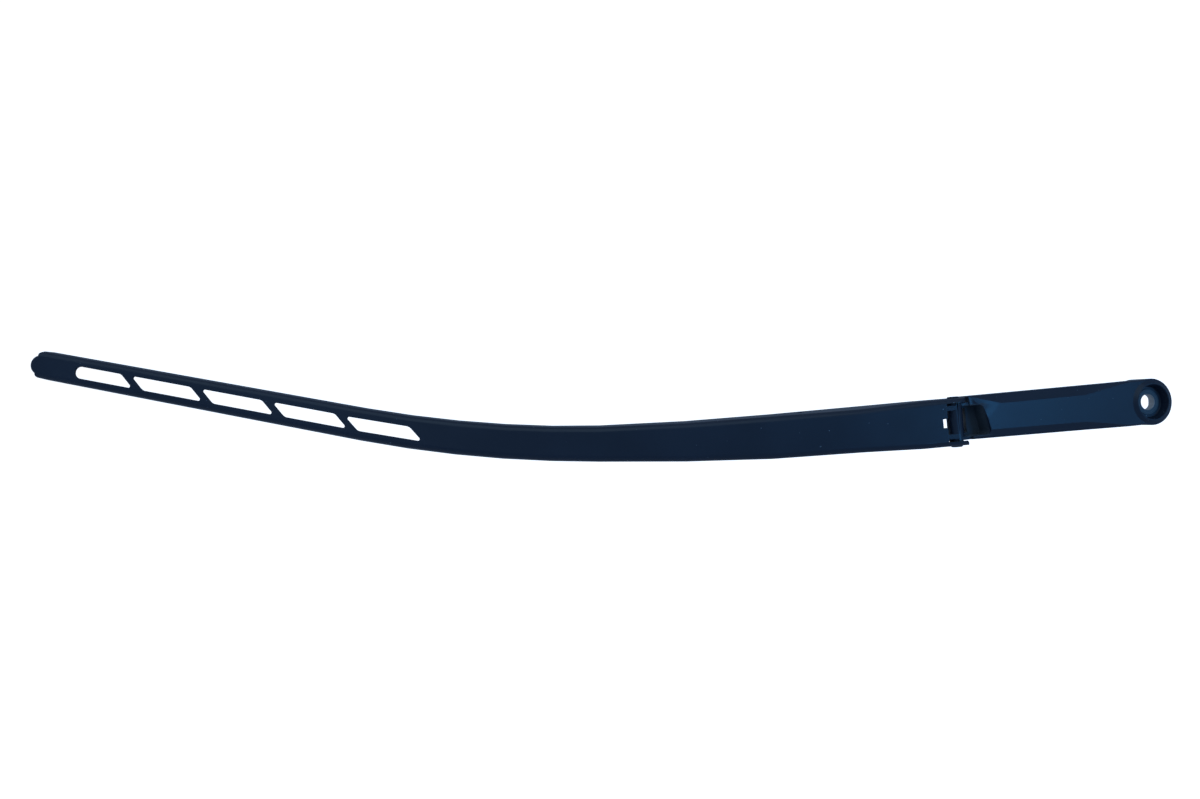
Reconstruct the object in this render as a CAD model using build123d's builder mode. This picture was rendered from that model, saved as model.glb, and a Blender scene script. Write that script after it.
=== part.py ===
from build123d import *

import os
from math import acos, atan2, cos, degrees, hypot, radians, sin, tan

os.makedirs("parts", exist_ok=True)

# Wiper arm: a pressed sheet channel hinged to a cast head that clamps on a drive spindle.
# Millimetres. The origin is on the spindle axis at the nut seat, +Z is the spindle axis and the
# arm runs towards -X. The arm lies on its lower stop, with its tip below the head.

# Cast head
head_length = 123.0  # spindle axis to hinge axis
head_top = 3.2  # top facet above the nut seat
head_wall = 2.6
lever_far_hinge = 0.3  # lever outside the arm's +Y side, beside the hinge and beside the boss
lever_far_boss = -0.1
lever_near_hinge = -2.8  # and outside its -Y side
lever_near_boss = -0.5
lever_depth_hinge = 17.4
lever_depth_boss = 13.4
roof_far_run = 5.4  # sloping facet on the +Y side, across and down
roof_far_drop = 3.2
roof_near_run = 4.7  # sloping facet on the -Y side, across and down
roof_near_drop = 2.2
roof_edge = 0.7  # what is left of both facets beside the boss
roof_fade_start = 44.0  # from the spindle axis
roof_fade_end = 15.0
lever_edge_radius = 0.9
rib_count = 2
rib_thickness = 2.2

# Spindle boss and nut recess
boss_depth = 11.8  # nut seat to the boss's foot
collar_inset = 0.6  # collar's foot inside the boss
collar_crest_radius = 10.7
recess_radius = 10.1
recess_floor_radius = 8.9
recess_depth = 4.5  # rim to nut seat
seat_radius = 7.2
seat_step = 0.35  # nut seat above the recess floor
spindle_radius = 4.5
spindle_land = 4.5
boss_wall = 2.5
boss_outset = 0.25  # boss outside the arm's sides

# Hinge
hinge_drop = 3.3  # hinge axis below the nut seat
barrel_radius = 4.3
hinge_pin_radius = 2.25
hinge_running_clearance = 0.05
bush_wall = 0.7
bush_length = 7.0
bush_flange = 0.8
bush_flange_radius = 3.7
rivet_head_radius = 3.1
rivet_head_height = 0.8
ear_radius = 6.5
ear_reach = 20.0  # hinge axis to where the ears reach the channel's full depth
side_clearance = 0.3  # ear to the bush beside it, and to the cheek it swings past
shoulder_gap = 1.0  # ear to the lever's shoulder
fork_inset = 3.4  # fork inside the barrel's end
fork_reach = 9.8  # hinge axis to the blind end of the fork
pocket_floor_drop = 4.5  # below the hinge axis
pocket_far_reach = 14.6  # hinge axis to the pocket's end wall, on the +Y side
pocket_near_reach = 18.4  # and on the -Y side
pocket_inset = 1.9  # pocket inside the barrel's end
pocket_corner_radius = 2.4
hip_reach = 17.2  # hinge axis to the hip's start at the pocket's end wall
hip_across = 0.1  # and that start to the +Y side of the middle
hip_turn = 43.0  # hip's line from the lever's length, and the fall of the facet beside it, degrees
hip_fall = 11.0
stop_lug_reach = 10.2
stop_lug_thickness = 2.6
stop_lug_width = 3.0
stop_lug_inset = 2.4  # middle of each lug inside the barrel's end
stop_clearance = 0.25

# Arm channel
arm_length = 533.5  # hinge axis to the channel's end, along the top
arm_pitch = 11.0  # droop at the hinge, degrees
arm_arch = 8.9  # further droop gained along the arm, degrees
arm_top = 6.5  # channel's top above the hinge axis
bend_start = 53.0  # sideways bend, gentle up to its middle and tighter after it
bend_middle = 198.6
bend_end = 334.7
bend_first = 4.7
bend_second = 11.3
sheet = 1.8
hinge_width = 26.4
waist_width = 20.1
tip_width = 17.0
hinge_depth = 20.0
waist_depth = 13.0
tip_depth = 10.0
taper_start = 61.4
taper_end = 230.6
wall_draft = 4.0
bend_radius = 3.2  # outside of the fold between top and wall
root_spacing = 48.5  # between channel sections, up to the bend's middle and end, and after it
bend_spacing = 27.2
tip_spacing = 65.7
top_end = 6.6  # hinge axis to the top sheet's rear edge, on the -Y side
top_end_far = 6.2  # and on the +Y side
top_notch_depth = 8.8  # and in the notch for the spring yoke
top_notch_far = 2.3  # notch's edge to the +Y side of the middle
top_notch_near = 2.6  # and to the -Y side

# Windows in the channel's top
window_count = 5
window_first = 320.0  # hinge axis to the middle of the window nearest to it
window_pitch = 43.5
window_height = 6.9
window_slant = 52.0
window_strut = 3.6
window_tip_radius = 0.9  # sharp corners
window_corner_radius = 4.5  # blunt corners
window_offset = -0.45
window_round_end = 505.2  # hinge axis to the centre of the last window's round end

# Tip
tip_chamfer_far = 2.2
tip_chamfer_near = 1.2
nose_radius = 5.8
nose_reach = 4.9
nose_depth = 7.0
nose_edge_radius = 2.2
nose_step = 0.3  # nose below the channel's top
clip_slot_length = 9.0
clip_slot_height = 4.0
clip_slot_drop = 3.6  # top of the channel to the slot's upper edge
clip_slot_setback = 12.0  # channel's end to the slot's near end

# Spring, its yoke and its pins, along the arm's droop at the hinge
spring_pin_radius = 2.0
spring_pin_forward = 3.2  # from the hinge axis towards the head
spring_pin_drop = 8.55
cheek_radius = 5.0
pin_seat = 2.4  # length of a pin's end held in its wall
anchor_distance = 84.0  # hinge axis to the anchor pin
anchor_drop = 6.8
anchor_pin_radius = 2.0
yoke_wire_radius = 1.05
yoke_reach = 17.5  # spring pin to the yoke's cross bar
yoke_belly_drop = 7.0
yoke_belly_far = 12.5  # spring pin to the far end of the yoke's belly
yoke_half_width = 5.0
yoke_bend_radius = 2.2
hook_clearance = 0.1
hook_tip_angle = 125.0
hook_tail_angle = -60.0
spring_wire_radius = 1.2
coil_radius = 4.6
coil_turns = 13
coil_near_gap = 8.0  # cross bar to the coil
coil_far_gap = 16.0  # anchor pin to the coil
wire_sides = 6  # facets round the yoke's and the spring's wire
turn_steps = 10  # straight steps in each turn of the coil
eye_steps = 8
eye_clearance = 0.15
eye_turn = 225.0  # bend of each end hook round its pin, degrees

boss_radius = hinge_width / 2 + boss_outset
collar_foot_radius = boss_radius - collar_inset
boss_cavity_radius = boss_radius - boss_wall
barrel_half = hinge_width / 2 - sheet - side_clearance - bush_flange
ear_fold = barrel_half + side_clearance
fork_half = barrel_half - fork_inset
pocket_half = barrel_half - pocket_inset
stop_lug_offset = barrel_half - stop_lug_inset
hinge_height = -hinge_drop
shoulder = ear_radius + shoulder_gap
bush_radius = hinge_pin_radius + hinge_running_clearance + bush_wall
arch_radius = arm_length / radians(arm_arch)


def smooth_share(distance, start, end):
    """Share of a smooth change that is done at a distance along the arm, from 0 to 1."""
    share = min(max((distance - start) / (end - start), 0.0), 1.0)
    return share * share * (3 - 2 * share)


def along_plan(distance):
    """Distance along the arm as seen in plan."""
    pitch = radians(arm_pitch)
    return arch_radius * (sin(pitch + distance / arch_radius) - sin(pitch))


first_run = along_plan(bend_middle) - along_plan(bend_start)
second_run = along_plan(bend_end) - along_plan(bend_middle)
tip_run = along_plan(arm_length) - along_plan(bend_end)

# Arm in plan, from the hinge axis: straight, a gentle bend, a tighter one and straight again
with BuildLine() as arm_plan:
    root_line = Line((0, 0), (along_plan(bend_start), 0))
    first_arc = JernArc(root_line @ 1, root_line % 1, first_run / radians(bend_first), bend_first)
    second_arc = JernArc(first_arc @ 1, first_arc % 1, second_run / radians(bend_second), bend_second)
    PolarLine(second_arc @ 1, tip_run, direction=second_arc % 1)
arm_curve = arm_plan.wire()


def arm_plane(distance):
    """Section plane of the arm: x across towards +Y, y up, z towards the head, origin on its top."""
    pitch = radians(arm_pitch)
    droop = pitch + distance / arch_radius
    place = arm_curve.position_at(along_plan(distance), position_mode=PositionMode.LENGTH)
    course = arm_curve.tangent_at(along_plan(distance), position_mode=PositionMode.LENGTH)
    origin = (
        -head_length - arm_top * sin(pitch) - place.X,
        place.Y,
        hinge_height + arm_top * cos(pitch) - arch_radius * (cos(pitch) - cos(droop)),
    )
    towards_head = (cos(droop) * course.X, -cos(droop) * course.Y, sin(droop))
    return Plane(origin=origin, x_dir=(course.Y, course.X, 0), z_dir=towards_head)


def top_plane(distance):
    """Plane on the arm's top: x towards the head, y across towards +Y, z out of the top."""
    section = arm_plane(distance)
    return Plane(origin=section.origin, x_dir=section.z_dir, z_dir=section.y_dir)


def arm_width(distance):
    """Width over the channel's lower edges."""
    waist = hinge_width + (waist_width - hinge_width) * smooth_share(distance, taper_start, taper_end)
    share = max(distance - taper_end, 0.0) / (arm_length - taper_end)
    return waist + (tip_width - waist_width) * share


def arm_depth(distance):
    """Depth of the channel from its top to its lower edges."""
    waist = hinge_depth + (waist_depth - hinge_depth) * smooth_share(distance, ear_reach, taper_end)
    share = max(distance - taper_end, 0.0) / (arm_length - taper_end)
    return waist + (tip_depth - waist_depth) * share


def channel_section(distance, thickness, below):
    """Trapezium of the channel, drawn in by a sheet thickness and carried on below its lower edges."""
    draft = tan(radians(wall_draft)) * smooth_share(distance, ear_reach, bend_start)
    depth = arm_depth(distance)
    edge_half = arm_width(distance) / 2 - thickness
    top_half = edge_half - (depth - thickness) * draft
    foot_half = edge_half + below * draft
    return Polygon(
        (-foot_half, -depth - below),
        (foot_half, -depth - below),
        (top_half, -thickness),
        (-top_half, -thickness),
        align=None,
    )


head_hinge = Plane(origin=(-head_length, 0, hinge_height), x_dir=(1, 0, 0), z_dir=(0, -1, 0))
arm_hinge = Plane(
    origin=head_hinge.origin,
    x_dir=(cos(radians(arm_pitch)), 0, sin(radians(arm_pitch))),
    z_dir=(0, -1, 0),
)


def hinge_point(forward, across, up):
    """Point given from the hinge axis in the arm's own directions."""
    return arm_hinge.from_local_coords((forward, up, -across))


spring_pin_centre = hinge_point(spring_pin_forward, 0, -spring_pin_drop)
spring_pin_plane = Plane(origin=spring_pin_centre, x_dir=arm_hinge.x_dir, z_dir=arm_hinge.z_dir)
spring_pin_local = head_hinge.to_local_coords(spring_pin_centre)
anchor_centre = hinge_point(-anchor_distance, 0, -anchor_drop)
anchor_middle = hinge_point(-anchor_distance, arm_plane(anchor_distance).origin.Y, -anchor_drop)
anchor_plane = Plane(origin=anchor_middle, x_dir=arm_hinge.x_dir, z_dir=arm_hinge.z_dir)
spring_line = Plane(
    origin=spring_pin_centre, x_dir=spring_pin_centre - anchor_centre, z_dir=arm_hinge.z_dir
)
spring_length = (spring_pin_centre - anchor_centre).length


def spring_point(forward, across, up):
    """Point given from the spring pin, forward along the spring's line."""
    return spring_line.from_local_coords((forward, up, -across))


def tangent_angle(forward, up, radius):
    """Angle at a circle's centre of the point where a line from behind and below touches it."""
    return degrees(atan2(up, forward) + acos(radius / hypot(forward, up)))


def lever_section(share, fade):
    """Section of the lever at a share of its length, with its roof facets faded towards plain edges."""
    far = hinge_width / 2 + lever_far_hinge + (lever_far_boss - lever_far_hinge) * share
    near = hinge_width / 2 + lever_near_hinge + (lever_near_boss - lever_near_hinge) * share
    depth = lever_depth_hinge + (lever_depth_boss - lever_depth_hinge) * share
    far_run = roof_far_run + (roof_edge - roof_far_run) * fade
    far_drop = roof_far_drop + (roof_edge - roof_far_drop) * fade
    near_run = roof_near_run + (roof_edge - roof_near_run) * fade
    near_drop = roof_near_drop + (roof_edge - roof_near_drop) * fade
    return Polygon(
        (-near, head_top - depth),
        (far, head_top - depth),
        (far, head_top - far_drop),
        (far - far_run, head_top),
        (near_run - near, head_top),
        (-near, head_top - near_drop),
        align=None,
    )


lever_start = head_length - shoulder
fade_share = (lever_start - roof_fade_start) / (lever_start - roof_fade_end)
neck_top = head_top - roof_far_drop - hinge_height
neck_bottom = head_top - lever_depth_hinge - hinge_height
cavity_start = head_length - pocket_near_reach - head_wall
cavity_end = boss_radius + head_wall
cavity_length = cavity_start - cavity_end
cavity_cell = (cavity_length - rib_count * rib_thickness) / (rib_count + 1)
cavity_far = hinge_width / 2 + min(lever_far_hinge, lever_far_boss) - head_wall
cavity_near = hinge_width / 2 + min(lever_near_hinge, lever_near_boss) - head_wall
cavity_roof = head_top - roof_far_drop - head_wall / 2
hip_run = lever_depth_hinge
hip_plane = Plane(
    origin=(hip_reach - head_length, hip_across, head_top),
    x_dir=(-sin(radians(hip_turn)), cos(radians(hip_turn)), 0),
    z_dir=(cos(radians(hip_turn)), sin(radians(hip_turn)), 0),
)

# Cast head: roofed lever, boss with nut recess, hinge barrel between two cheeks
with BuildPart() as arm_head:
    with BuildSketch(Plane.YZ.offset(-lever_start)):
        lever_section(0.0, 0.0)
    with BuildSketch(Plane.YZ.offset(-roof_fade_start)):
        lever_section(fade_share, 0.0)
    with BuildSketch(Plane.YZ.offset(-roof_fade_end)):
        lever_section(1.0, 1.0)
    loft(ruled=True)
    fillet(arm_head.edges().filter_by(Axis.X, tolerance=20).group_by(Axis.Z)[-1], lever_edge_radius)
    with BuildSketch(Plane.YZ.offset(-roof_fade_end)):
        lever_section(1.0, 1.0)
    extrude(amount=roof_fade_end)
    with BuildSketch(Plane.XY.offset(-boss_depth)):
        Circle(boss_radius)
    extrude(amount=boss_depth + head_top)
    with BuildSketch(Plane.XY.offset(head_top)):
        Circle(collar_foot_radius)
    with BuildSketch(Plane.XY.offset(recess_depth)):
        Circle(collar_crest_radius)
    loft()
    # Cheeks and hinge barrel
    with BuildSketch(head_hinge):
        with BuildLine():
            CenterArc((0, 0), barrel_radius, 0, 360)
            CenterArc((spring_pin_local.X, spring_pin_local.Y), cheek_radius, 0, 360)
            Line((shoulder, neck_top), (shoulder, neck_bottom))
        make_hull()
    extrude(amount=barrel_half, both=True)
    with BuildSketch(head_hinge):
        with Locations((fork_reach / 2 - ear_reach / 2, 0)):
            Rectangle(fork_reach + ear_reach, 2 * lever_depth_hinge)
    extrude(amount=fork_half, both=True, mode=Mode.SUBTRACT)
    with BuildSketch(Plane.XY.offset(hinge_height - pocket_floor_drop)) as pocket:
        with BuildLine():
            Polyline(
                (-head_length - barrel_radius, pocket_half),
                (-head_length + pocket_far_reach, pocket_half),
                (-head_length + pocket_near_reach, -pocket_half),
                (-head_length - barrel_radius, -pocket_half),
                close=True,
            )
        make_face()
        fillet(pocket.vertices().sort_by(Axis.X)[-2:], pocket_corner_radius)
    extrude(amount=head_top + lever_depth_hinge, mode=Mode.SUBTRACT)
    # Hip where the flat top meets the pocket
    with BuildSketch(hip_plane):
        Polygon(
            (0, 0),
            (hip_run, -hip_run * tan(radians(hip_fall))),
            (hip_run, roof_far_drop),
            (0, roof_far_drop),
            align=None,
        )
    extrude(amount=hip_run, both=True, mode=Mode.SUBTRACT)
    with BuildSketch(head_hinge):
        Circle(barrel_radius)
    extrude(amount=barrel_half, both=True)
    # Lugs that stop the arm at its lowest
    for side in (-1, 1):
        lug_plane = Plane(
            origin=hinge_point(0, side * stop_lug_offset, 0), x_dir=arm_hinge.x_dir, z_dir=arm_hinge.z_dir
        )
        with BuildSketch(lug_plane):
            lug_top = arm_top - sheet - stop_clearance
            with Locations((-stop_lug_reach / 2, lug_top - stop_lug_thickness / 2)):
                Rectangle(stop_lug_reach, stop_lug_thickness)
        extrude(amount=stop_lug_width / 2, both=True)
    with BuildSketch(head_hinge):
        Circle(bush_radius)
    extrude(amount=2 * barrel_half, both=True, mode=Mode.SUBTRACT)
    with BuildSketch(spring_pin_plane):
        Circle(spring_pin_radius)
    extrude(amount=fork_half + pin_seat, both=True, mode=Mode.SUBTRACT)
    # Hollow underside with cross ribs
    with BuildSketch(Plane.XY.offset(cavity_roof)):
        with Locations((-(cavity_start + cavity_end) / 2, (cavity_far - cavity_near) / 2)):
            with GridLocations(cavity_cell + rib_thickness, 0, rib_count + 1, 1):
                Rectangle(cavity_cell, cavity_far + cavity_near)
    extrude(amount=-lever_depth_hinge, mode=Mode.SUBTRACT)
    # Nut recess, spindle bore and the boss's hollow foot
    with BuildSketch(Plane.XY.offset(-seat_step)):
        Circle(recess_floor_radius)
    with BuildSketch(Plane.XY.offset(recess_depth)):
        Circle(recess_radius)
    loft(mode=Mode.SUBTRACT)
    with BuildSketch(Plane.XY.offset(-seat_step)):
        Circle(seat_radius)
    extrude(amount=seat_step)
    with BuildSketch(Plane.XY.offset(-spindle_land)):
        Circle(spindle_radius)
    extrude(amount=recess_depth, mode=Mode.SUBTRACT)
    with BuildSketch(Plane.XY.offset(-boss_depth)):
        Circle(boss_cavity_radius)
    extrude(amount=boss_depth - spindle_land, mode=Mode.SUBTRACT)
arm_head.part.label = "arm_head"
export_step(arm_head.part, "parts/arm_head.step")

# Flanged bushes pressed into both ends of the barrel
for bush_name, side in (("hinge_bush_left", 1), ("hinge_bush_right", -1)):
    barrel_end = Plane(
        origin=hinge_point(0, side * barrel_half, 0), x_dir=arm_hinge.x_dir, z_dir=(0, side, 0)
    )
    with BuildPart() as hinge_bush:
        with BuildSketch(barrel_end):
            Circle(bush_flange_radius)
        extrude(amount=bush_flange)
        with BuildSketch(barrel_end):
            Circle(bush_radius)
        extrude(amount=-bush_length)
        with BuildSketch(barrel_end):
            Circle(bush_radius - bush_wall)
        extrude(amount=bush_length, both=True, mode=Mode.SUBTRACT)
    hinge_bush.part.label = bush_name
    export_step(hinge_bush.part, f"parts/{bush_name}.step")

# Pin across the fork that holds the yoke
with BuildPart() as spring_pin:
    with BuildSketch(spring_pin_plane):
        Circle(spring_pin_radius)
    extrude(amount=fork_half + pin_seat, both=True)
spring_pin.part.label = "spring_pin"
export_step(spring_pin.part, "parts/spring_pin.step")

window_length = window_pitch - window_strut / cos(radians(window_slant))
window_lean = window_height / 2 * tan(radians(window_slant))
window_last = window_first + (window_count - 1) * window_pitch
ear_foot = arm_top - arm_depth(ear_reach)
ear_tangent = tangent_angle(-ear_reach, ear_foot, ear_radius)


def spaced(start, end, spacing):
    """Evenly spaced distances from a start up to, but without, an end."""
    steps = round((end - start) / spacing)
    return [start + (end - start) * index / steps for index in range(steps)]


section_distances = [
    ear_reach,
    *spaced(bend_start, bend_middle, root_spacing),
    *spaced(bend_middle, bend_end, bend_spacing),
    *spaced(bend_end, arm_length, tip_spacing),
    arm_length,
]
tip_half = arm_width(arm_length) / 2
nose_top = top_plane(arm_length)
nose_side = Plane(
    origin=nose_top.from_local_coords((nose_radius - nose_reach, window_offset, -nose_step)),
    x_dir=nose_top.x_dir,
    z_dir=-nose_top.y_dir,
)

# Pressed channel: top, two walls, hinge ears, windows and a rounded nose
with BuildPart() as arm_channel:
    for distance in section_distances:
        with BuildSketch(arm_plane(distance)) as outside:
            channel_section(distance, 0.0, 0.0)
            fillet(outside.vertices().group_by(Axis.Y)[-1], bend_radius)
    loft(ruled=True)
    with BuildSketch(arm_plane(ear_reach)) as root:
        channel_section(ear_reach, 0.0, 0.0)
        fillet(root.vertices().group_by(Axis.Y)[-1], bend_radius)
    extrude(amount=ear_reach + ear_radius)
    # Rounded nose beyond the end
    with BuildSketch(nose_side) as nose:
        Rectangle(nose_radius, nose_depth, align=(Align.MAX, Align.MAX))
        fillet(nose.vertices().group_by(Axis.X)[0].group_by(Axis.Y)[-1], nose_edge_radius)
    revolve(axis=Axis(nose_side.origin, nose_side.y_dir))
    # Inside of the channel, open below
    for distance in section_distances:
        with BuildSketch(arm_plane(distance)) as inside:
            channel_section(distance, sheet, tip_depth)
            fillet(inside.vertices().group_by(Axis.Y)[-1], bend_radius - sheet)
    loft(ruled=True, mode=Mode.SUBTRACT)
    with BuildSketch(arm_plane(ear_reach)) as root_inside:
        channel_section(ear_reach, sheet, tip_depth)
        fillet(root_inside.vertices().group_by(Axis.Y)[-1], bend_radius - sheet)
    extrude(amount=hinge_depth + ear_reach, mode=Mode.SUBTRACT)
    with BuildSketch(nose_side):
        with Locations((0, -sheet)):
            Rectangle(nose_radius - sheet, nose_depth, align=(Align.MAX, Align.MAX))
    revolve(axis=Axis(nose_side.origin, nose_side.y_dir), mode=Mode.SUBTRACT)
    # Ears round the hinge pin
    with BuildSketch(arm_hinge):
        with BuildLine():
            rim = CenterArc((0, 0), ear_radius, ear_tangent, 90 - ear_tangent)
            Polyline(
                rim @ 0,
                (-ear_reach, ear_foot),
                (-ear_reach, -2 * hinge_depth),
                (hinge_depth, -2 * hinge_depth),
                (hinge_depth, hinge_depth),
                (0, hinge_depth),
                rim @ 1,
            )
        make_face()
    extrude(amount=hinge_width, both=True, mode=Mode.SUBTRACT)
    # Rear edge of the top sheet, with the notch over the yoke
    with BuildSketch(top_plane(0.0)):
        with BuildLine():
            Polyline(
                (-top_end, -ear_fold),
                (-top_end, -top_notch_near),
                (-top_notch_depth, -top_notch_near),
                (-top_notch_depth, top_notch_far),
                (-top_end_far, top_notch_far),
                (-top_end_far, ear_fold),
                (hinge_depth, ear_fold),
                (hinge_depth, -ear_fold),
                close=True,
            )
        make_face()
    extrude(amount=bend_radius, both=True, mode=Mode.SUBTRACT)
    # Windows with slanted ends, the last one with a round end
    for index in range(window_count):
        with BuildSketch(top_plane(window_first + index * window_pitch)) as window:
            round_end = window_last - window_round_end
            is_last = index == window_count - 1
            far_end = round_end if is_last else -window_length / 2 - window_lean
            near_end = round_end if is_last else -window_length / 2 + window_lean
            with BuildLine():
                Polyline(
                    (far_end, window_offset + window_height / 2),
                    (window_length / 2 - window_lean, window_offset + window_height / 2),
                    (window_length / 2 + window_lean, window_offset - window_height / 2),
                    (near_end, window_offset - window_height / 2),
                    close=True,
                )
            make_face()
            corners = window.vertices().sort_by(Axis.X)
            fillet(corners[2:3] if is_last else corners[1:3], window_corner_radius)
            tips = window.vertices().sort_by(Axis.X)
            fillet(tips[-1:] if is_last else [tips[0], tips[-1]], window_tip_radius)
            if is_last:
                with Locations((round_end, window_offset)):
                    Circle(window_height / 2)
        extrude(amount=bend_radius, both=True, mode=Mode.SUBTRACT)
    # Cut corners and clip slots at the tip
    with BuildSketch(top_plane(arm_length)):
        with BuildLine():
            Polyline(
                (0, tip_half - tip_chamfer_far),
                (tip_chamfer_far, tip_half),
                (tip_chamfer_far, hinge_width),
                (0, hinge_width),
                close=True,
            )
        make_face()
        with BuildLine():
            Polyline(
                (0, tip_chamfer_near - tip_half),
                (tip_chamfer_near, -tip_half),
                (tip_chamfer_near, -hinge_width),
                (0, -hinge_width),
                close=True,
            )
        make_face()
    extrude(amount=hinge_depth, both=True, mode=Mode.SUBTRACT)
    slot_section = arm_plane(arm_length - clip_slot_setback)
    with BuildSketch(Plane(origin=slot_section.origin, x_dir=slot_section.z_dir, z_dir=-slot_section.x_dir)):
        with Locations((clip_slot_length / 2, -clip_slot_drop - clip_slot_height / 2)):
            Rectangle(clip_slot_length, clip_slot_height)
    extrude(amount=tip_width, both=True, mode=Mode.SUBTRACT)
    # Pin holes
    with BuildSketch(arm_hinge):
        Circle(hinge_pin_radius)
    extrude(amount=hinge_width, both=True, mode=Mode.SUBTRACT)
    with BuildSketch(anchor_plane):
        Circle(anchor_pin_radius)
    extrude(amount=hinge_width, both=True, mode=Mode.SUBTRACT)
arm_channel.part.label = "arm_channel"
export_step(arm_channel.part, "parts/arm_channel.step")

anchor_lift = arm_depth(anchor_distance) - arm_top - anchor_drop
anchor_half = arm_width(anchor_distance) / 2 - anchor_lift * tan(radians(wall_draft))
ear_outside = hinge_width / 2

# Rivet pin through ears, bushes and barrel
with BuildPart() as hinge_pin:
    with BuildSketch(arm_hinge):
        Circle(hinge_pin_radius)
    extrude(amount=ear_outside, both=True)
    for side in (-1, 1):
        ear_face = Plane(
            origin=hinge_point(0, side * ear_outside, 0), x_dir=arm_hinge.x_dir, z_dir=(0, side, 0)
        )
        with BuildSketch(ear_face):
            Circle(rivet_head_radius)
        extrude(amount=rivet_head_height)
hinge_pin.part.label = "hinge_pin"
export_step(hinge_pin.part, "parts/hinge_pin.step")

# Pin across the channel that holds the spring's far end
with BuildPart() as anchor_pin:
    with BuildSketch(anchor_plane):
        Circle(anchor_pin_radius)
    extrude(amount=anchor_half, both=True)
anchor_pin.part.label = "anchor_pin"
export_step(anchor_pin.part, "parts/anchor_pin.step")

hook_radius = spring_pin_radius + hook_clearance + yoke_wire_radius
hook_tail_forward = hook_radius * cos(radians(hook_tail_angle))
hook_tail_up = hook_radius * sin(radians(hook_tail_angle))
belly_near = hook_tail_forward + (yoke_belly_drop + hook_tail_up) * tan(radians(hook_tail_angle))
hook_middle_angle = (hook_tip_angle + hook_tail_angle) / 2


def hook_point(angle, across):
    """Point on the yoke's hook round the spring pin."""
    return spring_point(hook_radius * cos(radians(angle)), across, hook_radius * sin(radians(angle)))


# Wire yoke: two hooks on the spring pin, bellies under the hinge barrel and a cross bar
with BuildPart() as spring_yoke:
    with BuildLine() as yoke_path:
        near, far = -yoke_half_width, yoke_half_width
        ThreePointArc(
            hook_point(hook_tip_angle, near),
            hook_point(hook_middle_angle, near),
            hook_point(hook_tail_angle, near),
        )
        FilletPolyline(
            hook_point(hook_tail_angle, near),
            spring_point(belly_near, near, -yoke_belly_drop),
            spring_point(-yoke_belly_far, near, -yoke_belly_drop),
            spring_point(-yoke_reach, near, 0),
            spring_point(-yoke_reach, far, 0),
            spring_point(-yoke_belly_far, far, -yoke_belly_drop),
            spring_point(belly_near, far, -yoke_belly_drop),
            hook_point(hook_tail_angle, far),
            radius=yoke_bend_radius,
        )
        ThreePointArc(
            hook_point(hook_tail_angle, far),
            hook_point(hook_middle_angle, far),
            hook_point(hook_tip_angle, far),
        )
    with BuildSketch(Plane(origin=yoke_path.line @ 0, z_dir=yoke_path.line % 0)):
        RegularPolygon(yoke_wire_radius, wire_sides)
    sweep(path=yoke_path.line)
spring_yoke.part.label = "spring_yoke"
export_step(spring_yoke.part, "parts/spring_yoke.step")

coil_near = -yoke_reach - coil_near_gap
coil_far = -spring_length + coil_far_gap
coil_length = coil_near - coil_far
near_eye = yoke_wire_radius + eye_clearance + spring_wire_radius
far_eye = anchor_pin_radius + eye_clearance + spring_wire_radius
near_touch = tangent_angle(-coil_near_gap, -coil_radius, near_eye)
far_touch = 180 - tangent_angle(-coil_far_gap, -coil_radius, far_eye)


def eye_point(centre, radius, angle):
    """Point on an end eye, whose centre is given forward of the spring pin."""
    return spring_point(centre + radius * cos(radians(angle)), 0, radius * sin(radians(angle)))


def coil_point(step):
    """Point on the coil, which starts at its lowest."""
    angle = radians(360 * step / turn_steps)
    forward = coil_near - coil_length * step / (coil_turns * turn_steps)
    return spring_point(forward, coil_radius * sin(angle), -coil_radius * cos(angle))


near_eye_points = [
    eye_point(-yoke_reach, near_eye, near_touch + eye_turn * (1 - step / eye_steps))
    for step in range(eye_steps + 1)
]
far_eye_points = [
    eye_point(-spring_length, far_eye, far_touch - eye_turn * step / eye_steps)
    for step in range(eye_steps + 1)
]
coil_points = [coil_point(step) for step in range(coil_turns * turn_steps + 1)]

# Tension spring: coil with an open eye at each end
with BuildPart() as tension_spring:
    with BuildLine() as spring_path:
        Polyline(*near_eye_points, *coil_points, *far_eye_points)
    with BuildSketch(Plane(origin=spring_path.line @ 0, z_dir=spring_path.line % 0)):
        RegularPolygon(spring_wire_radius, wire_sides)
    sweep(path=spring_path.line, transition=Transition.RIGHT)
tension_spring.part.label = "tension_spring"
export_step(tension_spring.part, "parts/tension_spring.step")
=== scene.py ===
"""Looks of a wiper arm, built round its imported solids.

Everything is in metres, in the frame of the solids: the spindle axis is Z, the nut seat is at
the origin and the arm runs towards -X.
"""

import logging
import math
from collections.abc import Sequence
from dataclasses import dataclass, field
from enum import Enum

import bmesh
import bpy
from mathutils import Matrix, Vector
from mathutils.bvhtree import BVHTree
from mathutils.geometry import intersect_point_line


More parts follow.
